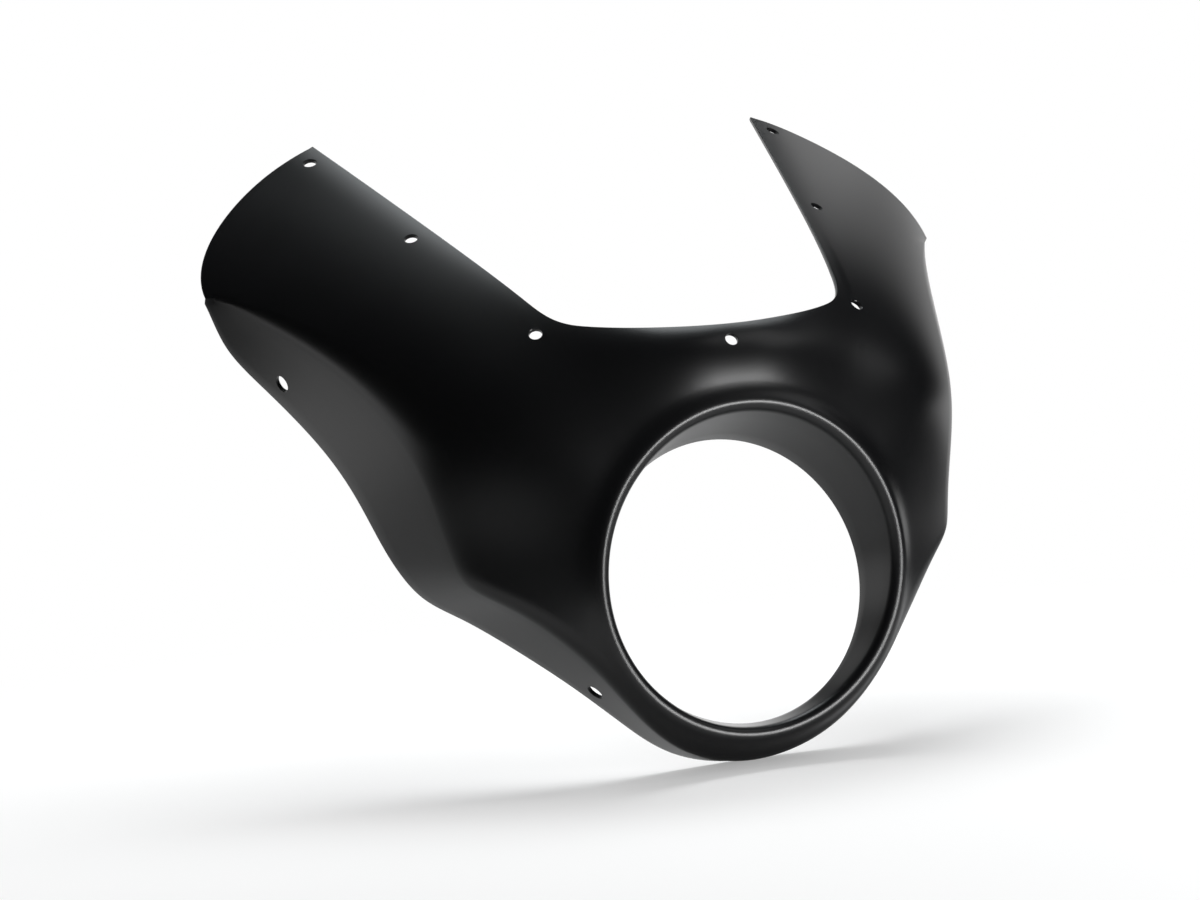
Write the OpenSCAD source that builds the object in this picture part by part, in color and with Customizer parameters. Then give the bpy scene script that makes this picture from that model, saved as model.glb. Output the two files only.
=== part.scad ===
// Semi-fairing for a round motorcycle headlight: one moulded shell.
// X runs across the motorcycle, -Y is the front, +Z is up.
// The origin is the centre of the headlight rim's crest.

/* [Headlight opening] */
// Diameter of the rolled rim, measured at its crest
rim_d = 204; // [198:1:210]
// Diameter of the open back of the headlight collar
collar_back_d = 176.5; // [170:0.5:180]
// Depth from the rim's centre to the centre of the collar's back edge
collar_depth = 35; // [30:1:40]
// Drop of the collar's back edge below the rim's centre
collar_drop = 9.7; // [8:0.1:11]
// Lean of the collar's back edge, in degrees
collar_lean = 12.3; // [9:0.1:14]
// Height of the rolled rim above the face around it
rim_bead = 3; // [2:0.1:3.5]

/* [Shell] */
// Width over both wings
overall_width = 522; // [490:2:550]
// Height of the wing tips above the rim's centre
wing_height = 277; // [260:1:295]
// Distance of the wing tips behind the rim
wing_depth = 282; // [260:1:300]
// Thickness of the moulded wall
wall = 2.5; // [2:0.1:3]

/* [Windscreen holes] */
// Diameter of the seven holes that hold the windscreen
screen_hole_d = 8.2; // [6:0.1:9]
// Distance of the middle windscreen hole below the cut-out's edge
centre_hole_inset = 9.4; // [8:0.1:11]

/* [Side mounting holes] */
// Diameter of the four holes in the lower flanks
side_hole_d = 10.7; // [8:0.1:12]

/* [Hidden] */

rim_r = rim_d / 2;
// Reach of the rolled rim's outer slope
bead_reach = 6.5;
// Reach of the lip's rounding across the rim and down the collar
lip_across = 4.8;
lip_down = 6;

// Face: at each angle from the top of the rim, its slope beside the rim, the extra
// slope of the wing behind it, the distance of the bend between them, and its softness
face_angle = [0, 18, 36, 56, 80, 115, 180];
face_slope = [-0.076, 0.047, 0.188, 0.206, 0.52, 0.562, 0.824];
wing_slope = [4.85, 2.45, 1.62, 1.34, 1.52, 0.3, 0.2];
bend_distance = [53.1, 53.5, 77.9, 83.2, 104.8, 104, 110];
bend_softness = [15.2, 19, 47.1, 40.1, 67, 51, 50];

// Front-view outline of one side [x, z], as curves of four guide points each
cutout_floor = [[0, 149.5], [26, 149.5], [60, 151], [82, 154.5]];
cutout_corner = [[82, 154.5], [96, 156.5], [101, 161], [106, 171]];
cutout_side = [[106, 171], [124, 206], [142.5, 242], [160.5, 277]];
wing_back = [[160.5, 277], [198, 264.5], [268, 221], [261, 182]];
outline = [cutout_floor, cutout_corner, cutout_side, wing_back];
outline_columns = [4, 3, 6, 7];
wing_tip = [160.5, 277];

// Folded lower flank, one row for each station from the wing down to the chin:
// crease x, crease z, edge x, edge z, edge's distance behind the crease, rounding
flank = [
    [250, 182, 261, 182, 20, 5],
    [237.5, 171, 248, 152, 46, 9],
    [217, 148, 227, 122, 77, 12],
    [196.5, 114, 207.5, 83.5, 83, 13],
    [181.5, 70, 194.5, 44, 82, 11],
    [171, 24, 183.5, 10, 70, 9],
    [164, 4, 170.5, -9.5, 64, 8],
    [148, -8, 154.5, -21.5, 62, 8],
    [128, -24, 133.5, -38.5, 57, 8],
    [106.5, -47.5, 104.5, -64, 46, 7],
    [88, -72, 79, -88, 35, 5],
    [52.5, -105, 46, -112, 26, 4],
    [0, -119.5, 0, -122, 23, 4]
];
flank_columns = 24;
// Angle on the rim where the line to each outline corner and flank station starts
rim_angle = [0, 37.5, 45.9, 47.2, 48, 49, 53.5, 60, 79, 88, 94, 102, 111, 121, 135, 156, 180];

// Windscreen holes of one side [x, z], from the wing tip to the cut-out's corner
screen_holes = [[169, 266], [144, 213.7], [110.6, 152]];
// Side mounting holes as [flank station, share of the way from crease to edge]
side_holes = [[2, 0.7], [9.4, 0.6]];

// Size of the outline as drawn, which the overall sizes stretch
drawn_width = 522;
drawn_height = 277;
// Distance outside the rim over which the stretch sets in
stretch_reach = 40;

// Rows of facets: rolled rim's slope, face, rounding of the crease, flank
lip_rows = 3;
bead_steps = [2, 4, 6.4, 9.4];
bead_span = 15;
face_rows = 7;
approach_rows = 1;
crease_rows = 3;
flank_rows = 1;
// Strip beside outline and crease whose columns run square to it: its width beside the
// cut-out and where the wing's back edge ends, and its width outside the crease's rounding
// at the top and further down
cutout_strip = 5;
back_strip = 32;
top_strip = 19;
low_strip = 1.5;
// Stretches, in columns of corners and stations, over which the strip changes
tip_turn_in = 0.9;
tip_turn_out = 0.27;
strip_change = 1.2;
direction_change = 3;
drill_length = 16;

function unit(v) = v / norm(v);
function blend(a, b, t) = a + (b - a) * t;
function smooth_step(t) = let (c = max(0, min(1, t))) 3 * c ^ 2 - 2 * c ^ 3;

// Smooth curve between two values with given slopes
function ease(a, b, slope_a, slope_b, t) =
    (2 * t ^ 3 - 3 * t ^ 2 + 1) * a + (t ^ 3 - 2 * t ^ 2 + t) * slope_a
    + (3 * t ^ 2 - 2 * t ^ 3) * b + (t ^ 3 - t ^ 2) * slope_b;

// Slopes at guide places that let the curvature run on smoothly too, settled in rounds
settling_rounds = 30;
function settled(places, values, slopes, rounds = settling_rounds) =
    rounds == 0 ? slopes
    : settled(places, values, [for (i = [0:len(values) - 1])
        i == 0 || i == len(values) - 1 ? slopes[i]
        : let (a = 1 / (places[i] - places[i - 1]), b = 1 / (places[i + 1] - places[i]))
          (3 * a ^ 2 * (values[i] - values[i - 1]) + 3 * b ^ 2 * (values[i + 1] - values[i])
           - a * slopes[i - 1] - b * slopes[i + 1]) / (2 * (a + b))], rounds - 1);

// A guide list with its slopes, and its value at an angle
function guided(list) = [list, settled(face_angle, list, list * 0)];
function at_angle(guides, angle, i = 0) =
    i < len(face_angle) - 2 && angle > face_angle[i + 1] ? at_angle(guides, angle, i + 1)
    : let (span = face_angle[i + 1] - face_angle[i])
        ease(guides[0][i], guides[0][i + 1], guides[1][i] * span, guides[1][i + 1] * span,
             (angle - face_angle[i]) / span);
slope_guides = guided(face_slope);
wing_guides = guided(wing_slope);
place_guides = guided(bend_distance);
softness_guides = guided(bend_softness);

// Value of a list of stations at a station number, smooth through all of them
function at_station(list, slopes, s) =
    let (i = min(floor(s), len(list) - 2))
    ease(list[i], list[i + 1], slopes[i], slopes[i + 1], s - i);

// Point on a curve of four guide points
function curve(g, t) =
    (1 - t) ^ 3 * g[0] + 3 * t * (1 - t) ^ 2 * g[1]
    + 3 * t ^ 2 * (1 - t) * g[2] + t ^ 3 * g[3];

// Point on a rounded corner between two straight stretches
function rounded(a, corner, b, t) =
    (1 - t) ^ 2 * a + 2 * t * (1 - t) * corner + t ^ 2 * b;

// How far behind the rim the face lies, at a place in the front view
function bend(d, place, softness) = (d - place + norm([d - place, softness])) / 2;
function face_depth(p) =
    let (angle = atan2(abs(p[0]), p[1]),
         d = norm(p) - rim_r,
         place = at_angle(place_guides, angle),
         softness = at_angle(softness_guides, angle))
    (rim_bead + at_angle(slope_guides, angle) * d) * (1 - exp(-(d / bead_reach) ^ 2))
    + at_angle(wing_guides, angle) * (bend(d, place, softness) - bend(0, place, softness));
function on_face(p) = [p[0], face_depth(p), p[1]];
function face_normal(p) =
    let (e = 0.5)
    unit([(face_depth(p + [e, 0]) - face_depth(p - [e, 0])) / (2 * e), -1,
          (face_depth(p + [0, e]) - face_depth(p - [0, e])) / (2 * e)]);

// Columns of the half shell: outline corners are 0 to 4, then each flank station adds 1
last_station = len(flank) - 1;
border_rows = approach_rows + crease_rows + flank_rows;
columns = concat(
    [for (k = [0:3]) for (i = [0:outline_columns[k] - 1]) k + i / outline_columns[k]],
    [for (i = [0:flank_columns]) 4 + i * last_station / flank_columns]
);
// Slopes at the stations: at the chin only the distances across run on
chin_slope = let (s = flank[last_station - 1]) [-s[0], 0, -s[2], 0, 0, 0];
flank_slopes = settled([for (i = [0:last_station]) i], flank, [for (i = [0:last_station])
    i == 0 ? flank[1] - flank[0] : i == last_station ? chin_slope : flank[i] * 0]);
chin = 4 + last_station;
angle_slopes = settled([for (i = [0:chin]) i], rim_angle, [for (i = [0:chin])
    i == 0 ? rim_angle[1] : i == chin ? rim_angle[chin] - rim_angle[chin - 1] : 0]);

function on_flank(u) = u >= 4;
function flank_at(u) = at_station(flank, flank_slopes, max(u, 4) - 4);
// Outline above, crease below, in the front view
function border_line(u) =
    on_flank(u) ? let (s = flank_at(u)) [s[0], s[1]]
    : curve(outline[floor(u)], u - floor(u));
// Width of the strip beside it
function strip_width(u) =
    on_flank(u)
    ? flank_at(u)[5] + blend(top_strip, low_strip, smooth_step((u - 4) / strip_change))
    : blend(cutout_strip, back_strip, smooth_step(u - 3));
// Direction in the front view from the outline or crease towards the face
function inward(u) =
    let (e = 0.05,
         low = u == 0 ? 0 : on_flank(u) ? max(4, u - e) : u - e,
         high = on_flank(u) ? min(u + e, chin) : min(u + e, 3.999),
         along = unit(border_line(high) - border_line(low)))
    u == 0 ? [0, -1] : u >= chin ? [0, 1] : [along[1], -along[0]];
// The same, turned gradually where the outline has its corner and where the crease begins
function strip_direction(u) =
    let (tip = unit(inward(2.9) + inward(3.1)),
         near_tip = 1 - smooth_step(abs(u - 3) / (u < 3 ? tip_turn_in : tip_turn_out)),
         near_top = on_flank(u) ? 1 - smooth_step((u - 4) / direction_change) : 0)
    unit(blend(unit(blend(inward(u), tip, near_tip)), inward(3.99), near_top));
function rim_direction(u) =
    let (a = at_station(rim_angle, angle_slopes, u)) [sin(a), cos(a)];

// One column of points, from the back of the collar over the rim to the outer edge
function column(u) =
    let (
        radial = rim_direction(u),
        back_r = collar_back_d / 2,
        back = [back_r * radial[0],
                collar_depth + back_r * radial[1] * sin(collar_lean),
                -collar_drop + back_r * radial[1] * cos(collar_lean)],
        crest = [rim_r * radial[0], 0, rim_r * radial[1]],
        lip_corner = crest - lip_across * [radial[0], 0, radial[1]],
        lip_start = lip_corner + lip_down * unit(back - lip_corner),
        start = rim_r * radial,
        line = border_line(u),
        end = line + strip_width(u) * strip_direction(u),
        reach = norm(end - start),
        squeeze = min(1, reach / bead_span),
        first = bead_steps[3] * squeeze / reach,
        crease = on_face(line),
        s = flank_at(u),
        rounding_start = line + s[5] * strip_direction(u),
        edge = on_flank(u) ? [s[2], crease[1] + s[4], s[3]] : crease,
        fold = edge - crease,
        fold_start = on_flank(u)
            ? crease + unit(fold) * min(s[5], 0.45 * norm(fold)) : crease
    )
    concat(
        [back, lip_start],
        [for (i = [1:lip_rows]) rounded(lip_start, lip_corner, crest, i / lip_rows)],
        [for (d = bead_steps) on_face(blend(start, end, d * squeeze / reach))],
        [for (i = [1:face_rows]) on_face(blend(start, end, first + (1 - first) * i / face_rows))],
        on_flank(u)
        ? concat(
            [for (i = [1:approach_rows]) on_face(blend(end, rounding_start, i / approach_rows))],
            [for (i = [1:crease_rows])
                rounded(on_face(rounding_start), crease, fold_start, i / crease_rows)],
            [for (i = [1:flank_rows]) blend(fold_start, edge, i / flank_rows)])
        : [for (i = [1:border_rows]) on_face(blend(end, line, i / border_rows))]
    );

// The whole shell is a ring of columns: one half, then its mirror image back to the top
half = [for (u = columns) column(u)];
last = len(columns) - 1;
ring_count = 2 * last;
rows = len(half[0]);
crest_row = 1 + lip_rows;
face_end = crest_row + len(bead_steps) + face_rows + approach_rows;
function mirrored(p) = [-p[0], p[1], p[2]];
function wrap(j) = (j + ring_count) % ring_count;
function ring(j, i) =
    let (k = wrap(j)) k <= last ? half[k][i] : mirrored(half[ring_count - k][i]);

// Outward direction at a point of the ring
function outward(j, i) =
    let (p = ring(j, i))
    i == crest_row ? [0, -1, 0]
    : i > crest_row && i <= face_end ? face_normal([p[0], p[2]])
    : unit(cross(ring(j + 1, i) - ring(j - 1, i),
                 ring(j, min(i + 1, rows - 1)) - ring(j, max(i - 1, 0))));

// Overall sizes stretch everything outside the rim
width_gain = overall_width / drawn_width - 1;
depth_gain = wing_depth / face_depth(wing_tip) - 1;
height_gain = wing_height / drawn_height - 1;
function stretched(p) =
    let (g = smooth_step((norm([p[0], p[2]]) - rim_r) / stretch_reach))
    [p[0] * (1 + width_gain * g), p[1] * (1 + depth_gain * g),
     p[2] > 0 ? p[2] * (1 + height_gain * g) : p[2]];

module shell_wall() {
    outer = [for (j = [0:ring_count - 1]) for (i = [0:rows - 1]) stretched(ring(j, i))];
    inner = [for (j = [0:ring_count - 1]) for (i = [0:rows - 1])
        stretched(ring(j, i)) - wall * outward(j, i)];
    inner_start = len(outer);
    function index(j, i) = wrap(j) * rows + i;
    function quad(a, b, c, d, flip) = flip ? [[a, b, d], [b, c, d]] : [[a, b, c], [a, c, d]];
    function patch(j, i, at, turn) =
        let (a = at + index(j, i), b = at + index(j + 1, i),
             c = at + index(j + 1, i + 1), d = at + index(j, i + 1))
        turn ? quad(d, c, b, a, j >= last) : quad(a, b, c, d, j >= last);
    function rim_strip(j, i, turn) =
        let (a = index(j, i), b = index(j + 1, i), c = inner_start + b, d = inner_start + a)
        turn ? quad(a, b, c, d, j >= last) : quad(d, c, b, a, j >= last);
    faces = [for (j = [0:ring_count - 1]) each concat(
        [for (i = [0:rows - 2]) each patch(j, i, 0, true)],
        [for (i = [0:rows - 2]) each patch(j, i, inner_start, false)],
        rim_strip(j, 0, true),
        rim_strip(j, rows - 1, false)
    )];
    polyhedron(points = concat(outer, inner), faces = faces, convexity = 8);
}

// A hole through the wall at a point, square to the surface there
module drilled(p, direction, d) {
    translate(p)
        rotate([0, acos(direction[2]), atan2(direction[1], direction[0])])
            cylinder(h = drill_length, d = d, center = true, $fn = 24);
}

module both_sides() {
    children();
    mirror([1, 0, 0]) children();
}

module windscreen_holes() {
    both_sides()
        for (p = screen_holes)
            drilled(stretched(on_face(p)), face_normal(p), screen_hole_d);
    centre = [0, cutout_floor[0][1] - centre_hole_inset];
    drilled(stretched(on_face(centre)), face_normal(centre), screen_hole_d);
}

// Point and outward direction on the flat part of the flank
function flank_point(station, share) =
    let (c = column(4 + station)) blend(c[rows - 1 - flank_rows], c[rows - 1], share);
function flank_normal(station, share) =
    let (e = 0.1)
    unit(cross(flank_point(station + e, share) - flank_point(station - e, share),
               flank_point(station, 1) - flank_point(station, 0)));

module side_mounting_holes() {
    both_sides()
        for (h = side_holes)
            drilled(stretched(flank_point(h[0], h[1])), flank_normal(h[0], h[1]), side_hole_d);
}

module fairing_shell() {
    color([0.05, 0.05, 0.055])
    difference() {
        shell_wall();
        windscreen_holes();
        side_mounting_holes();
    }
}

fairing_shell();
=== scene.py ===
"""Looks of a semi-fairing for a round motorcycle headlight: one satin black moulding."""

import math
import bpy
import numpy as np
from mathutils import Matrix, Vector


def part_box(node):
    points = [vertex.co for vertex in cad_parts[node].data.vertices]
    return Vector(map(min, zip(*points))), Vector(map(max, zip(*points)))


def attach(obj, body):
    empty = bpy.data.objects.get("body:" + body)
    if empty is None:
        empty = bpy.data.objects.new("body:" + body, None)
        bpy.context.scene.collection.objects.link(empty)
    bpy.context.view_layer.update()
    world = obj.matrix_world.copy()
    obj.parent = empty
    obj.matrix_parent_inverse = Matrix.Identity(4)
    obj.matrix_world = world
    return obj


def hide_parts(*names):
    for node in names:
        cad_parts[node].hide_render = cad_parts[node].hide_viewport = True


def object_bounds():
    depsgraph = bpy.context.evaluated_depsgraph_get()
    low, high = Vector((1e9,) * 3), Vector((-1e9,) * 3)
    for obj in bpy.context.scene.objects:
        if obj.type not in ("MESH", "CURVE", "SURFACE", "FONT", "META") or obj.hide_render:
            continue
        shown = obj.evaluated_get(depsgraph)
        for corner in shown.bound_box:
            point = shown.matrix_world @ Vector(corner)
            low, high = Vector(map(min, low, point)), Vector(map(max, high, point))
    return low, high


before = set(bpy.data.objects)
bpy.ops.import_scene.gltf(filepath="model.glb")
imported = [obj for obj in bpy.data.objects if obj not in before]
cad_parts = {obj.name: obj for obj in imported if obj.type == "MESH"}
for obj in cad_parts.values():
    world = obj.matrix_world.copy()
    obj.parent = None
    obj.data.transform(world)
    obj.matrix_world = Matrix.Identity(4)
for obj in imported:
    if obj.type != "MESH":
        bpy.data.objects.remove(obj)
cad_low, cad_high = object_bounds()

MM = 0.001
SHELL_NODE = "fairing_shell"

# Overall sizes of the shell, in millimetres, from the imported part
shell_low, shell_high = [np.array(corner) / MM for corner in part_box(SHELL_NODE)]
OVERALL_WIDTH = shell_high[0] - shell_low[0]
WING_HEIGHT = shell_high[2]
FLOOR_LEVEL = cad_low[2]

# Headlight opening: rolled rim, collar behind it and the lip between them
RIM_RADIUS = 102.0
RIM_BEAD = 3.0
BEAD_REACH = 6.5
COLLAR_BACK_RADIUS = 88.25
COLLAR_DEPTH = 35.0
COLLAR_DROP = 9.7
COLLAR_LEAN = math.radians(12.3)
LIP_ACROSS = 4.8
LIP_DOWN = 6.0
WALL = 2.5
EDGE_ROUNDING = 0.6

# Windscreen and side mounting holes
SCREEN_HOLE_RADIUS = 4.1
SIDE_HOLE_RADIUS = 5.35
CENTRE_HOLE_INSET = 9.4
SCREEN_HOLES = [(169, 266), (144, 213.7), (110.6, 152)]
SIDE_HOLES = [(2, 0.7), (9.4, 0.6)]
DRILL_LENGTH = 10.0
COUNTERSINK = 0.35
DRILL_SIDES = 48
SHARP_EDGE = math.radians(35)

# Face at each angle from the top of the rim: slope beside the rim, extra slope of the
# wing behind it, distance of the bend between them and its softness
FACE_ANGLE = [0, 18, 36, 56, 80, 115, 180]
FACE_SLOPE = [-0.076, 0.047, 0.188, 0.206, 0.52, 0.562, 0.824]
WING_SLOPE = [4.85, 2.45, 1.62, 1.34, 1.52, 0.3, 0.2]
BEND_DISTANCE = [53.1, 53.5, 77.9, 83.2, 104.8, 104, 110]
BEND_SOFTNESS = [15.2, 19, 47.1, 40.1, 67, 51, 50]

# Front outline of one side, as curves of four guide points each
CUTOUT_FLOOR = [(0, 149.5), (26, 149.5), (60, 151), (82, 154.5)]
CUTOUT_CORNER = [(82, 154.5), (96, 156.5), (101, 161), (106, 171)]
CUTOUT_SIDE = [(106, 171), (124, 206), (142.5, 242), (160.5, 277)]
WING_BACK = [(160.5, 277), (198, 264.5), (268, 221), (261, 182)]
OUTLINE = np.array([CUTOUT_FLOOR, CUTOUT_CORNER, CUTOUT_SIDE, WING_BACK], float)
TIP = 3
FLANK_TOP = 4

# Folded lower flank at each station from the wing down to the chin: crease x and z,
# edge x and z, edge's distance behind the crease, rounding of the crease
FLANK = [
    (250, 182, 261, 182, 20, 5),
    (237.5, 171, 248, 152, 46, 9),
    (217, 148, 227, 122, 77, 12),
    (196.5, 114, 207.5, 83.5, 83, 13),
    (181.5, 70, 194.5, 44, 82, 11),
    (171, 24, 183.5, 10, 70, 9),
    (164, 4, 170.5, -9.5, 64, 8),
    (148, -8, 154.5, -21.5, 62, 8),
    (128, -24, 133.5, -38.5, 57, 8),
    (106.5, -47.5, 104.5, -64, 46, 7),
    (88, -72, 79, -88, 35, 5),
    (52.5, -105, 46, -112, 26, 4),
    (0, -119.5, 0, -122, 23, 4),
]
ROUNDED_SHARE = 0.45

# Place on the rim, as an angle from its top, from which each column of the mesh starts
RIM_ANGLE = [0, 37.5, 45.9, 47.2, 48, 49, 53.5, 60, 79, 88, 94, 102, 111, 121, 135, 156, 180]
CHIN = len(RIM_ANGLE) - 1
SETTLING_ROUNDS = 30

# Overall sizes that the outline is drawn at, and how far from the rim a change of size grows
DRAWN_WIDTH = 522.0
DRAWN_HEIGHT = 277.0
STRETCH_REACH = 40.0

# Mesh density: columns of each outline curve and of the flank, rows of each zone
OUTLINE_COLUMNS = [20, 16, 12, 36]
FLANK_COLUMNS = 156
COLLAR_ROWS = 4
LIP_ROWS = 9
BEAD_MARKS = [0.8, 1.6, 2.4, 3.2, 4.1, 5.1, 6.3, 7.8, 9.6, 11.8]
BEAD_ROOM = 1.4
FACE_ROWS = 40
APPROACH_ROWS = 3
CREASE_ROWS = 9
FLANK_ROWS = 6
EDGE_STEPS = 3

# Strip beside outline and crease whose columns run square to it: its widths, and the
# stretches, in corners and stations, over which it changes
CUTOUT_STRIP = 5.0
BACK_STRIP = 32.0
TOP_STRIP = 19.0
LOW_STRIP = 1.5
TIP_TURN_IN = 0.9
TIP_TURN_OUT = 0.27
STRIP_CHANGE = 1.2
DIRECTION_CHANGE = 3.0


# Shape of the shell

def smooth_step(t):
    t = np.clip(t, 0.0, 1.0)
    return t * t * (3.0 - 2.0 * t)


def hermite(a, b, slope_a, slope_b, t):
    """Smooth curve between two values with given slopes."""
    return (
        (2 * t**3 - 3 * t**2 + 1) * a
        + (t**3 - 2 * t**2 + t) * slope_a
        + (3 * t**2 - 2 * t**3) * b
        + (t**3 - t**2) * slope_b
    )


def settled(places, values, first, last):
    """Slopes at guide places that let the curvature run on smoothly too."""
    places = np.array(places, float)
    values = np.array(values, float)
    if values.ndim > 1:
        places = places[:, None]
    slopes = np.zeros_like(values)
    slopes[0], slopes[-1] = first, last
    step = np.diff(places, axis=0)
    rise = 3 * np.diff(values, axis=0) / step**2
    a, b = 1 / step[:-1], 1 / step[1:]
    for _ in range(SETTLING_ROUNDS):
        pull = a * slopes[:-2] + b * slopes[2:]
        slopes[1:-1] = (rise[:-1] + rise[1:] - pull) / (2 * (a + b))
    return slopes


def at_angle(values, angle):
    """Values given at the face's guide angles, smooth between them."""
    guides = np.array(FACE_ANGLE, float)
    values = np.array(values, float)
    slopes = settled(guides, values, 0, 0)
    i = np.clip(np.searchsorted(guides, angle) - 1, 0, len(guides) - 2)
    span = guides[i + 1] - guides[i]
    t = (angle - guides[i]) / span
    return hermite(values[i], values[i + 1], slopes[i] * span, slopes[i + 1] * span, t)


def at_station(stations, s, last_slope):
    """Rows given at whole station numbers, smooth through all of them."""
    rows = np.array(stations, float)
    slopes = settled(np.arange(len(rows)), rows, rows[1] - rows[0], last_slope)
    i = np.clip(np.floor(s).astype(int), 0, len(rows) - 2)
    t = s - i
    if rows.ndim > 1:
        t = t[:, None]
    return hermite(rows[i], rows[i + 1], slopes[i], slopes[i + 1], t)


def bend(d, place, softness):
    return (d - place + np.hypot(d - place, softness)) / 2


def face_depth(x, z):
    """How far behind the rim the face lies, at a place in the front view."""
    angle = np.degrees(np.arctan2(np.abs(x), z))
    d = np.hypot(x, z) - RIM_RADIUS
    place = at_angle(BEND_DISTANCE, angle)
    softness = at_angle(BEND_SOFTNESS, angle)
    bead = (RIM_BEAD + at_angle(FACE_SLOPE, angle) * d) * (1 - np.exp(-((d / BEAD_REACH) ** 2)))
    wing = bend(d, place, softness) - bend(0, place, softness)
    return bead + at_angle(WING_SLOPE, angle) * wing


def on_face(p):
    """Places of the front view, lifted onto the face."""
    return np.stack([p[..., 0], face_depth(p[..., 0], p[..., 1]), p[..., 1]], axis=-1)


def unit(v):
    return v / np.linalg.norm(v, axis=-1, keepdims=True)


def flank_at(u):
    before = FLANK[-2]
    chin_slope = (-before[0], 0, -before[2], 0, 0, 0)
    return at_station(FLANK, np.maximum(u, FLANK_TOP) - FLANK_TOP, chin_slope)


def border_line(u):
    """Outline above and crease below, in the front view."""
    k = np.clip(np.floor(u).astype(int), 0, len(OUTLINE) - 1)
    t = (u - k)[:, None]
    g = OUTLINE[k]
    curve = (
        (1 - t) ** 3 * g[:, 0]
        + 3 * t * (1 - t) ** 2 * g[:, 1]
        + 3 * t**2 * (1 - t) * g[:, 2]
        + t**3 * g[:, 3]
    )
    return np.where((u >= FLANK_TOP)[:, None], flank_at(u)[:, :2], curve)


def inward(u):
    """Direction in the front view from the outline or crease towards the face."""
    e = 0.05
    low = np.where(u >= FLANK_TOP, np.maximum(FLANK_TOP, u - e), np.maximum(u - e, 0))
    high = np.minimum(u + e, np.where(u >= FLANK_TOP, CHIN, FLANK_TOP - 0.001))
    along = unit(border_line(high) - border_line(low))
    side = np.stack([along[:, 1], -along[:, 0]], axis=-1)
    side[u == 0] = (0, -1)
    side[u >= CHIN] = (0, 1)
    return side


def strip_direction(u):
    """Inward direction, turned gradually at the outline's corner and the crease's start."""
    tip = unit(inward(np.array([TIP - 0.1])) + inward(np.array([TIP + 0.1])))
    near_tip = 1 - smooth_step(np.abs(u - TIP) / np.where(u < TIP, TIP_TURN_IN, TIP_TURN_OUT))
    turned = unit(inward(u) * (1 - near_tip[:, None]) + tip * near_tip[:, None])
    near_top = 1 - smooth_step((u - FLANK_TOP) / DIRECTION_CHANGE)
    near_top = np.where(u >= FLANK_TOP, near_top, 0)[:, None]
    back = inward(np.array([FLANK_TOP - 0.01]))
    return unit(turned * (1 - near_top) + back * near_top)


def strip_width(u):
    """Width of the strip beside outline or crease whose columns run square to it."""
    beside_outline = CUTOUT_STRIP + (BACK_STRIP - CUTOUT_STRIP) * smooth_step(u - TIP)
    low = smooth_step((u - FLANK_TOP) / STRIP_CHANGE)
    outside_rounding = TOP_STRIP + (LOW_STRIP - TOP_STRIP) * low
    return np.where(u >= FLANK_TOP, flank_at(u)[:, 5] + outside_rounding, beside_outline)


def rounded(a, corner, b, count):
    """Points of a rounded corner between two straight stretches, without the first."""
    t = (np.arange(1, count + 1) / count)[None, :, None]
    return (1 - t) ** 2 * a[:, None] + 2 * t * (1 - t) * corner[:, None] + t**2 * b[:, None]


def straight_run(a, b, count):
    t = (np.arange(1, count + 1) / count)[None, :, None]
    return a[:, None] + (b - a)[:, None] * t


def flank_fold(u, crease):
    """Outer edge and the place on the flank where the crease's rounding ends."""
    s = flank_at(u)
    edge = np.stack([s[:, 2], crease[:, 1] + s[:, 4], s[:, 3]], axis=-1)
    fold = edge - crease
    length = np.linalg.norm(fold, axis=-1)
    reach = np.minimum(s[:, 5], ROUNDED_SHARE * length)[:, None]
    return edge, crease + unit(fold) * reach


def outer_columns(u):
    """Outer skin of the half shell: one column of points for each u, collar to edge."""
    angle = np.radians(at_station(RIM_ANGLE, u, RIM_ANGLE[-1] - RIM_ANGLE[-2]))
    radial = np.stack([np.sin(angle), np.cos(angle)], axis=-1)
    back = np.stack(
        [
            COLLAR_BACK_RADIUS * radial[:, 0],
            COLLAR_DEPTH + COLLAR_BACK_RADIUS * radial[:, 1] * math.sin(COLLAR_LEAN),
            -COLLAR_DROP + COLLAR_BACK_RADIUS * radial[:, 1] * math.cos(COLLAR_LEAN),
        ],
        axis=-1,
    )
    outwards = np.stack([radial[:, 0], np.zeros(len(u)), radial[:, 1]], axis=-1)
    crest = RIM_RADIUS * outwards
    lip_corner = crest - LIP_ACROSS * outwards
    lip_start = lip_corner + LIP_DOWN * unit(back - lip_corner)
    start = RIM_RADIUS * radial
    line = border_line(u)
    direction = strip_direction(u)
    end = line + strip_width(u)[:, None] * direction
    reach = np.linalg.norm(end - start, axis=-1)[:, None]
    squeeze = np.minimum(1.0, reach / (BEAD_ROOM * BEAD_MARKS[-1]))
    bead = np.array(BEAD_MARKS)[None, :] * squeeze / reach
    rest = bead[:, -1:] + (1 - bead[:, -1:]) * np.arange(1, FACE_ROWS + 1) / FACE_ROWS
    share = np.concatenate([bead, rest], axis=1)[:, :, None]
    face = on_face(start[:, None] + (end - start)[:, None] * share)
    crease = on_face(line)
    edge, fold_start = flank_fold(u, crease)
    rounding = line + flank_at(u)[:, 5:] * direction
    approach = on_face(straight_run(end, rounding, APPROACH_ROWS))
    fold = np.concatenate(
        [
            approach,
            rounded(approach[:, -1], crease, fold_start, CREASE_ROWS),
            straight_run(fold_start, edge, FLANK_ROWS),
        ],
        axis=1,
    )
    strip = on_face(straight_run(end, line, APPROACH_ROWS + CREASE_ROWS + FLANK_ROWS))
    border = np.where((u >= FLANK_TOP)[:, None, None], fold, strip)
    collar = straight_run(back, lip_start, COLLAR_ROWS)
    lip = rounded(lip_start, lip_corner, crest, LIP_ROWS)
    return np.concatenate([back[:, None], collar, lip, face, border], axis=1)


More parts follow.
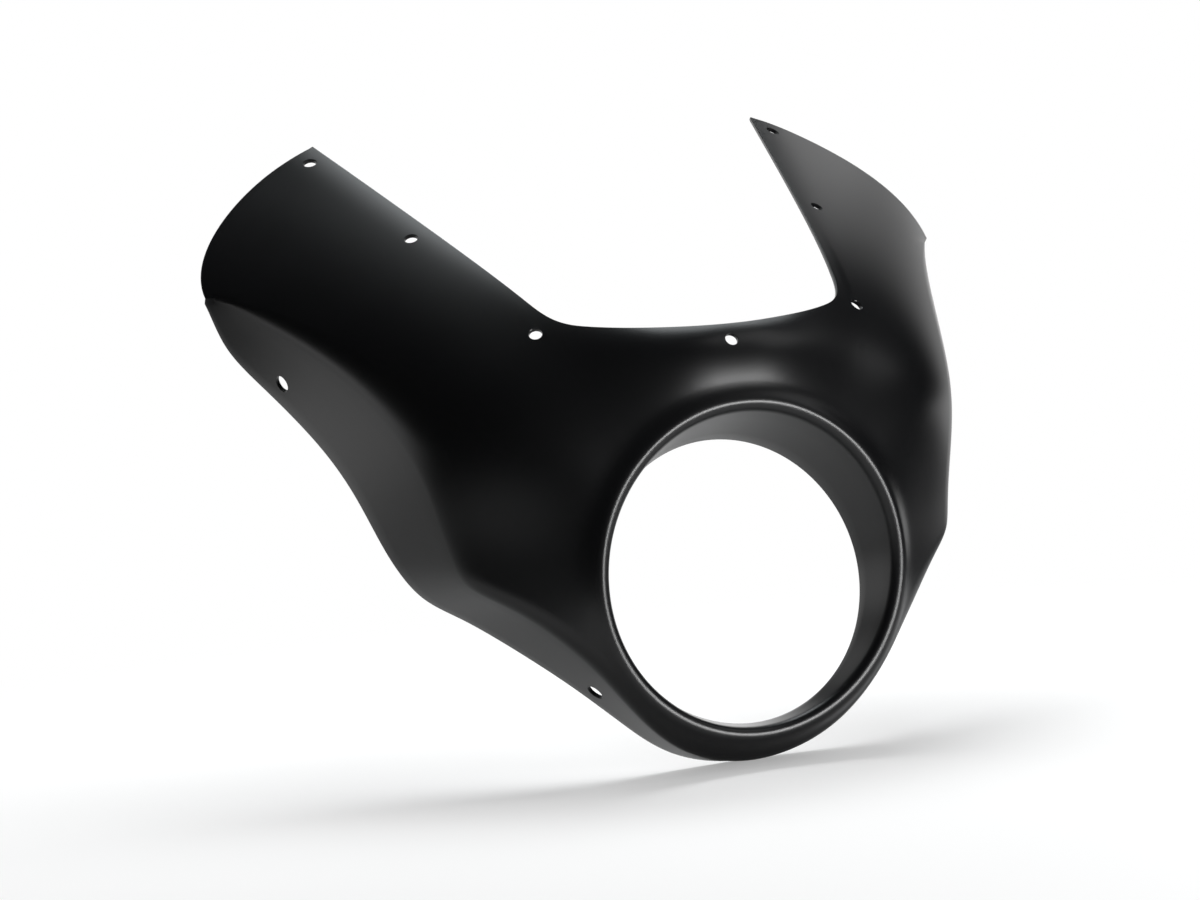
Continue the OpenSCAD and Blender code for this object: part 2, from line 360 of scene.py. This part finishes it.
def stretched(p):
    """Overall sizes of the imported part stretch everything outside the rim."""
    g = smooth_step((np.hypot(p[..., 0], p[..., 2]) - RIM_RADIUS) / STRETCH_REACH)
    x = p[..., 0] * (1 + (OVERALL_WIDTH / DRAWN_WIDTH - 1) * g)
    gain = np.where(p[..., 2] > 0, (WING_HEIGHT / DRAWN_HEIGHT - 1) * g, 0)
    return np.stack([x, p[..., 1], p[..., 2] * (1 + gain)], axis=-1)


def shell_profile():
    """Ring of columns, each a closed profile: outer skin, edge, inner skin, collar's back."""
    top = [k + i / n for k, n in enumerate(OUTLINE_COLUMNS) for i in range(n)]
    low = [FLANK_TOP + i * (len(FLANK) - 1) / FLANK_COLUMNS for i in range(FLANK_COLUMNS + 1)]
    half = stretched(outer_columns(np.array(top + low)))
    other = half[-2:0:-1] * np.array([-1, 1, 1])
    outer = np.concatenate([half, other])
    around = np.roll(outer, -1, axis=0) - np.roll(outer, 1, axis=0)
    normal = unit(np.cross(around, np.gradient(outer, axis=1)))
    crest = COLLAR_ROWS + LIP_ROWS
    normal[:, crest] = (0, -1, 0)
    inner = outer - WALL * normal

    def finished_edge(row, before):
        """Rounded edge of the wall at one end of the columns."""
        out = np.cross(around[:, row], normal[:, row])
        out = unit(out)
        towards = outer[:, row] - outer[:, before]
        out *= np.sign((out * towards).sum(axis=-1, keepdims=True))
        r = EDGE_ROUNDING
        outer_arc, inner_arc = [], []
        for k in range(EDGE_STEPS + 1):
            a = math.pi / 2 * k / EDGE_STEPS
            across = (math.sin(a) - 1) * r * out
            down = (1 - math.cos(a)) * r * normal[:, row]
            outer_arc.append(outer[:, row] + across - down)
            inner_arc.append(inner[:, row] + across + down)
        return outer_arc, inner_arc

    outer_end, inner_end = finished_edge(-1, -2)
    outer_back, inner_back = finished_edge(0, 1)
    loop = outer_back[::-1] + [outer[:, i] for i in range(1, outer.shape[1] - 1)] + outer_end
    loop += inner_end[::-1] + [inner[:, i] for i in range(outer.shape[1] - 2, 0, -1)] + inner_back
    return np.stack(loop, axis=1)


def closed_mesh(name, loops):
    """Closed mesh from a ring of closed profiles, with its faces turned outwards."""
    count, rows = loops.shape[:2]
    j, i = np.meshgrid(np.arange(count), np.arange(rows), indexing="ij")
    j2, i2 = (j + 1) % count, (i + 1) % rows
    quads = np.stack([j * rows + i, j2 * rows + i, j2 * rows + i2, j * rows + i2], axis=-1)
    quads = quads.reshape(-1, 4)
    points = loops.reshape(-1, 3)
    a, b, c, d = (points[quads[:, k]] for k in range(4))
    if (np.cross(c - a, d - b) * (a + b + c + d)).sum() < 0:
        quads = quads[:, ::-1]
    mesh = bpy.data.meshes.new(name)
    mesh.from_pydata((points * MM).tolist(), [], quads.tolist())
    return mesh


def face_normal(p):
    e = 0.5
    p = np.array(p, float)
    slope_x = (face_depth(p[0] + e, p[1]) - face_depth(p[0] - e, p[1])) / (2 * e)
    slope_z = (face_depth(p[0], p[1] + e) - face_depth(p[0], p[1] - e)) / (2 * e)
    return unit(np.array([slope_x, -1, slope_z]))


def flank_point(station, share):
    u = np.array([FLANK_TOP + station], float)
    edge, fold_start = flank_fold(u, on_face(border_line(u)))
    return (fold_start + (edge - fold_start) * share)[0]


def flank_normal(station, share):
    e = 0.1
    along = flank_point(station + e, share) - flank_point(station - e, share)
    across = flank_point(station, 1) - flank_point(station, 0)
    return unit(np.cross(along, across))


def hole_places():
    """Place on the outer skin, outward direction and radius of each of the eleven holes."""
    places = []
    for p in SCREEN_HOLES:
        places.append((on_face(np.array(p, float)), face_normal(p), SCREEN_HOLE_RADIUS))
    for station, share in SIDE_HOLES:
        places.append((flank_point(station, share), flank_normal(station, share), SIDE_HOLE_RADIUS))
    turn = np.array([-1, 1, 1])
    places += [(p * turn, n * turn, r) for p, n, r in places]
    centre = np.array([0, CUTOUT_FLOOR[0][1] - CENTRE_HOLE_INSET])
    places.append((on_face(centre), face_normal(centre), SCREEN_HOLE_RADIUS))
    return [(stretched(p), n, r) for p, n, r in places]


# Holes, drilled by nodes

class Tree:
    """Adds nodes to a tree: a node's type, its settings and its sockets' values or links."""

    def __init__(self, tree):
        self.tree = tree

    def add(self, kind, settings=None, inputs=None, output=0):
        node = self.tree.nodes.new(kind)
        for name, value in (settings or {}).items():
            setattr(node, name, value)
        for key, value in (inputs or {}).items():
            self.put(node.inputs[key], value)
        return Signal(self, node.outputs[output], node) if len(node.outputs) else node

    def put(self, socket, value):
        if isinstance(value, Signal):
            self.tree.links.new(value.socket, socket)
        else:
            socket.default_value = value

    def maths(self, operation, a, b):
        return self.add("ShaderNodeMath", {"operation": operation}, {0: a, 1: b})


class Signal:
    """A socket that can be used in sums."""

    def __init__(self, tree, socket, node):
        self.owner = tree
        self.socket = socket
        self.node = node

    def out(self, key):
        return Signal(self.owner, self.node.outputs[key], self.node)

    def __add__(self, other):
        return self.owner.maths("ADD", self, other)

    __radd__ = __add__

    def __sub__(self, other):
        return self.owner.maths("SUBTRACT", self, other)

    def __rsub__(self, other):
        return self.owner.maths("SUBTRACT", other, self)

    def __mul__(self, other):
        return self.owner.maths("MULTIPLY", self, other)

    __rmul__ = __mul__

    def __gt__(self, other):
        return self.owner.maths("GREATER_THAN", self, other)


def drilling_tree():
    """Drills a countersunk hole, square to the surface, at each loose place of a mesh."""
    group = bpy.data.node_groups.new("drill_mounting_holes", "GeometryNodeTree")
    made = {}
    for name, kind in (
        ("Shell and Places", "NodeSocketGeometry"),
        ("Drill Length", "NodeSocketFloat"),
        ("Countersink", "NodeSocketFloat"),
        ("Sides", "NodeSocketInt"),
        ("Finish", "NodeSocketMaterial"),
    ):
        made[name] = group.interface.new_socket(name, in_out="INPUT", socket_type=kind).identifier
    group.interface.new_socket("Drilled Shell", in_out="OUTPUT", socket_type="NodeSocketGeometry")
    t = Tree(group)
    given = t.add("NodeGroupInput")
    radius = t.add(
        "GeometryNodeInputNamedAttribute", {"data_type": "FLOAT"}, {"Name": "hole_radius"}
    )
    axis = t.add(
        "GeometryNodeInputNamedAttribute", {"data_type": "FLOAT_VECTOR"}, {"Name": "hole_axis"}
    )
    split = t.add(
        "GeometryNodeSeparateGeometry",
        {"domain": "POINT"},
        {"Geometry": given.out("Shell and Places"), "Selection": radius > 0.0},
    )
    sink = t.add(
        "ShaderNodeVectorMath",
        {"operation": "SCALE"},
        {0: axis, "Scale": given.out("Countersink") * -1.0},
    )
    seats = t.add("GeometryNodeSetPosition", None, {"Geometry": split, "Offset": sink})
    bit = t.add(
        "GeometryNodeMeshCylinder",
        None,
        {
            "Vertices": given.out("Sides"),
            "Side Segments": 2,
            "Radius": 1.0,
            "Depth": given.out("Drill Length"),
        },
    )
    here = t.add("GeometryNodeInputPosition")
    parts = t.add("ShaderNodeSeparateXYZ", None, {0: here})
    above = parts.out("Z") > 0.0001
    wide = t.add(
        "ShaderNodeVectorMath", {"operation": "MULTIPLY"}, {0: here, 1: (1.0, 1.0, 0.0)}
    )
    flared = t.add(
        "GeometryNodeSetPosition", None, {"Geometry": bit, "Selection": above, "Offset": wide}
    )
    turn = t.add("FunctionNodeAlignRotationToVector", {"axis": "Z"}, {"Vector": axis})
    size = t.add("ShaderNodeCombineXYZ", None, {"X": radius, "Y": radius, "Z": 1.0})
    bits = t.add(
        "GeometryNodeInstanceOnPoints",
        None,
        {"Points": seats, "Instance": flared, "Rotation": turn, "Scale": size},
    )
    real_bits = t.add("GeometryNodeRealizeInstances", None, {"Geometry": bits})
    cut = t.add(
        "GeometryNodeMeshBoolean",
        {"operation": "DIFFERENCE", "solver": "EXACT"},
        {"Mesh 1": split.out("Inverted")},
    )
    group.links.new(real_bits.socket, cut.node.inputs["Mesh 2"])
    real = t.add("GeometryNodeRealizeInstances", None, {"Geometry": cut})
    finish = t.add(
        "GeometryNodeSetMaterial", None, {"Geometry": real, "Material": given.out("Finish")}
    )
    t.add("NodeGroupOutput", None, {0: finish})
    return group, made


def drilled_shell(material):
    """The whole moulding, as one closed mesh with its eleven holes."""
    loops = shell_profile()
    fit = np.minimum(1.0, shell_high / loops.max(axis=(0, 1)))
    mesh = closed_mesh("semi_fairing", loops * fit)
    solid_count = len(mesh.vertices)
    holes = hole_places()
    mesh.vertices.add(len(holes))
    radii = mesh.attributes.new("hole_radius", "FLOAT", "POINT")
    axes = mesh.attributes.new("hole_axis", "FLOAT_VECTOR", "POINT")
    for k, (place, direction, radius) in enumerate(holes):
        mesh.vertices[solid_count + k].co = Vector(place) * MM
        radii.data[solid_count + k].value = radius * MM
        axes.data[solid_count + k].vector = Vector(direction)
    blank = bpy.data.objects.new("semi_fairing_blank", mesh)
    bpy.context.scene.collection.objects.link(blank)
    group, sockets = drilling_tree()
    drill = blank.modifiers.new("drill_mounting_holes", "NODES")
    drill.node_group = group
    drill[sockets["Drill Length"]] = DRILL_LENGTH * MM
    drill[sockets["Countersink"]] = COUNTERSINK * MM
    drill[sockets["Sides"]] = DRILL_SIDES
    drill[sockets["Finish"]] = material
    evaluated = blank.evaluated_get(bpy.context.evaluated_depsgraph_get())
    made = bpy.data.meshes.new_from_object(evaluated)
    blank.modifiers.clear()
    bpy.data.objects.remove(blank)
    for name in ("hole_radius", "hole_axis"):
        if name in made.attributes:
            made.attributes.remove(made.attributes[name])
    made.shade_smooth()
    made.set_sharp_from_angle(angle=SHARP_EDGE)
    made.name = "semi_fairing"
    piece = bpy.data.objects.new("semi_fairing", made)
    bpy.context.scene.collection.objects.link(piece)
    return piece


# Finish: how fine the grain, the faint orange peel and the flow of gloss are, the depth of
# the relief in millimetres, the lowest roughness and the two blacks
GRAIN_SCALE = 1500.0
PEEL_SCALE = 260.0
FLOW_SCALE = 14.0
RELIEF = 0.04
SMOOTHEST = 0.29
DARKER_BLACK = (0.0025, 0.0026, 0.003, 1.0)
LIGHTER_BLACK = (0.006, 0.0062, 0.007, 1.0)


def satin_black():
    """Satin black moulded plastic: fine even grain, faint flow of gloss over the surface."""
    material = bpy.data.materials.new("satin_black_plastic")
    material.use_nodes = True
    tree = material.node_tree
    tree.nodes.clear()
    t = Tree(tree)
    place = t.add("ShaderNodeTexCoord").out("Object")
    grain = t.add(
        "ShaderNodeTexNoise",
        None,
        {"Vector": place, "Scale": GRAIN_SCALE, "Detail": 2.0, "Roughness": 0.6},
    )
    peel = t.add("ShaderNodeTexNoise", None, {"Vector": place, "Scale": PEEL_SCALE, "Detail": 1.0})
    flow = t.add("ShaderNodeTexNoise", None, {"Vector": place, "Scale": FLOW_SCALE, "Detail": 3.0})
    gloss = SMOOTHEST + 0.03 * flow + 0.03 * grain
    shade = t.add(
        "ShaderNodeMix",
        {"data_type": "RGBA"},
        {0: flow * 0.6 + grain * 0.4, 6: DARKER_BLACK, 7: LIGHTER_BLACK},
    ).out(2)
    relief = t.add(
        "ShaderNodeBump",
        None,
        {"Strength": 0.35, "Distance": RELIEF * MM, "Height": grain * 0.7 + peel * 0.6},
    )
    plastic = t.add(
        "ShaderNodeBsdfPrincipled",
        None,
        {"Base Color": shade, "Roughness": gloss, "IOR": 1.5, "Normal": relief},
    )
    t.add("ShaderNodeOutputMaterial", None, {"Surface": plastic})
    return material


finish = satin_black()
fairing = drilled_shell(finish)
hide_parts(SHELL_NODE)
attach(fairing, "root")


# Studio

def outward(azimuth, elevation):
    """Direction away from the object; azimuth counts from the front to the rider's left."""
    azimuth, elevation = math.radians(azimuth), math.radians(elevation)
    return Vector(
        (
            math.sin(azimuth) * math.cos(elevation),
            -math.cos(azimuth) * math.cos(elevation),
            math.sin(elevation),
        )
    )


def place_camera():
    """Camera at the photograph's viewing angle, slightly rolled."""
    azimuth, roll = math.radians(CAMERA_AZIMUTH), math.radians(CAMERA_ROLL)
    back = outward(CAMERA_AZIMUTH, CAMERA_ELEVATION)
    level = Vector((math.cos(azimuth), math.sin(azimuth), 0))
    upright = back.cross(level)
    right = level * math.cos(roll) + upright * math.sin(roll)
    up = back.cross(right)
    aim = Vector(CAMERA_AIM) * MM
    turn = Matrix((right, up, back)).transposed()
    data = bpy.data.cameras.new("camera")
    data.sensor_width = SENSOR_WIDTH
    data.lens = LENS
    data.clip_start = 0.05
    data.clip_end = 200.0
    camera = bpy.data.objects.new("camera", data)
    bpy.context.scene.collection.objects.link(camera)
    camera.matrix_world = Matrix.Translation(-(turn @ aim)) @ turn.to_4x4()
    bpy.context.scene.camera = camera
    return camera


def pale_floor():
    """Plain pale floor that keeps the shadow and runs out into the white background."""
    material = bpy.data.materials.new("pale_floor")
    material.use_nodes = True
    material.node_tree.nodes.clear()
    t = Tree(material.node_tree)
    path = t.add("ShaderNodeLightPath")
    seen = t.maths("MAXIMUM", path.out("Is Camera Ray"), path.out("Is Transmission Ray"))
    place = t.add("ShaderNodeTexCoord").out("Object")
    away = t.add("ShaderNodeVectorMath", {"operation": "LENGTH"}, {0: place}).out("Value")
    far = t.add(
        "ShaderNodeMapRange",
        {"interpolation_type": "SMOOTHSTEP"},
        {"Value": away, "From Min": FLOOR_NEAR, "From Max": FLOOR_FAR},
    )
    cloth = t.add("ShaderNodeBsdfDiffuse", None, {"Color": FLOOR_COLOUR})
    lift = t.add("ShaderNodeEmission", None, {"Color": WHITE, "Strength": seen * FLOOR_LIFT})
    near_floor = t.add("ShaderNodeAddShader", None, {0: cloth, 1: lift})
    depth = t.add("ShaderNodeSeparateXYZ", None, {0: place}).out("Y")
    behind = t.add(
        "ShaderNodeMapRange",
        {"interpolation_type": "SMOOTHSTEP"},
        {"Value": depth, "From Min": FLOOR_NEAR, "From Max": FLOOR_FAR},
    )
    shown = t.maths("MAXIMUM", seen, path.out("Is Glossy Ray") * behind)
    backdrop = t.add("ShaderNodeEmission", None, {"Color": WHITE, "Strength": shown})
    both = t.add("ShaderNodeMixShader", None, {0: far, 1: near_floor, 2: backdrop})
    t.add("ShaderNodeOutputMaterial", None, {"Surface": both})
    mesh = bpy.data.meshes.new("floor")
    h = FLOOR_HALF
    corners = [(-h, -h), (h, -h), (h, h), (-h, h)]
    mesh.from_pydata([(x, y, FLOOR_LEVEL - FLOOR_GAP) for x, y in corners], [], [(0, 1, 2, 3)])
    mesh.materials.append(material)
    floor = bpy.data.objects.new("floor", mesh)
    bpy.context.scene.collection.objects.link(floor)


def softbox(name, azimuth, elevation, distance, width, height, radiance):
    """Rectangular lamp aimed at the object."""
    direction = outward(azimuth, elevation)
    data = bpy.data.lights.new(name, "AREA")
    data.shape = "RECTANGLE"
    data.size = width
    data.size_y = height
    data.energy = radiance * math.pi * width * height
    lamp = bpy.data.objects.new(name, data)
    bpy.context.scene.collection.objects.link(lamp)
    lamp.location = Vector(LIT_PLACE) + direction * distance
    lamp.rotation_mode = "QUATERNION"
    lamp.rotation_quaternion = (-direction).to_track_quat("-Z", "Y")
    return lamp


def surroundings():
    """White background, reflected as a low backdrop behind the object; even fill light."""
    world = bpy.data.worlds.new("studio")
    bpy.context.scene.world = world
    world.use_nodes = True
    world.node_tree.nodes.clear()
    t = Tree(world.node_tree)
    path = t.add("ShaderNodeLightPath")
    seen = t.maths("MAXIMUM", path.out("Is Camera Ray"), path.out("Is Transmission Ray"))
    towards = t.add("ShaderNodeTexCoord").out("Generated")
    parts = t.add("ShaderNodeSeparateXYZ", None, {0: towards})
    behind = t.add(
        "ShaderNodeMapRange",
        {"interpolation_type": "SMOOTHSTEP"},
        {"Value": parts.out("Y"), "From Min": BACKDROP_SIDE, "From Max": BACKDROP_MIDDLE},
    )
    above = t.add(
        "ShaderNodeMapRange",
        {"interpolation_type": "SMOOTHSTEP"},
        {"Value": parts.out("Z"), "From Min": BACKDROP_LOW, "From Max": BACKDROP_TOP},
    )
    reflected = behind * (1.0 - above) * path.out("Is Glossy Ray")
    fill = path.out("Is Diffuse Ray") * FILL_LEVEL
    strength = t.maths("MAXIMUM", seen, reflected + fill)
    light = t.add("ShaderNodeBackground", None, {"Color": WHITE, "Strength": strength})
    t.add("ShaderNodeOutputWorld", None, {"Surface": light})


# Camera: direction from the object and roll in degrees, the frame's origin along the
# camera's own axes, and the lens
CAMERA_AZIMUTH = -24.167
CAMERA_ELEVATION = 4.224
CAMERA_ROLL = -4.174
CAMERA_AIM = (94.542, -72.155, -2262.775)
SENSOR_WIDTH = 36.0
LENS = 111.696

# Studio: the place that the lamps are aimed at; the floor's size, gap below the object,
# colour, the part of its brightness that no shadow takes away, and where it runs into
# white; the backdrop's sides and top, as parts of a direction; the fill light's level
LIT_PLACE = (0.0, 0.1, 0.05)
WHITE = (1.0, 1.0, 1.0, 1.0)
FLOOR_HALF = 60.0
FLOOR_GAP = 0.0002
FLOOR_COLOUR = (0.6, 0.6, 0.6, 1.0)
FLOOR_LIFT = 0.32
FLOOR_NEAR = 0.4
FLOOR_FAR = 0.9
BACKDROP_SIDE = 0.3
BACKDROP_MIDDLE = 0.75
BACKDROP_LOW = 0.15
BACKDROP_TOP = 0.45
FILL_LEVEL = 0.3

place_camera()
pale_floor()
surroundings()

# Lamps: azimuth and elevation in degrees, distance, width and height in metres, radiance
above_back = softbox("softbox_above_back", 143, 62, 1.5, 0.9, 0.7, 3.7)
above_back.data.color = (0.93, 0.98, 1.0)
softbox("softbox_back_right", 150, 15, 1.5, 0.9, 0.8, 1.6)
softbox("softbox_back_left", -160, 25, 1.5, 0.9, 0.9, 0.8)
softbox("softbox_left", -128, 8, 1.4, 0.6, 0.6, 0.5)
softbox("softbox_front_right", 58, 45, 1.5, 0.8, 0.8, 0.8)
softbox("rim_light", 24, -2, 1.3, 0.44, 0.4, 22.0)
key = softbox("softbox_overhead", 165, 74, 1.5, 1.0, 1.0, 5.5)
key.visible_glossy = False

bpy.context.scene.view_settings.view_transform = "Standard"
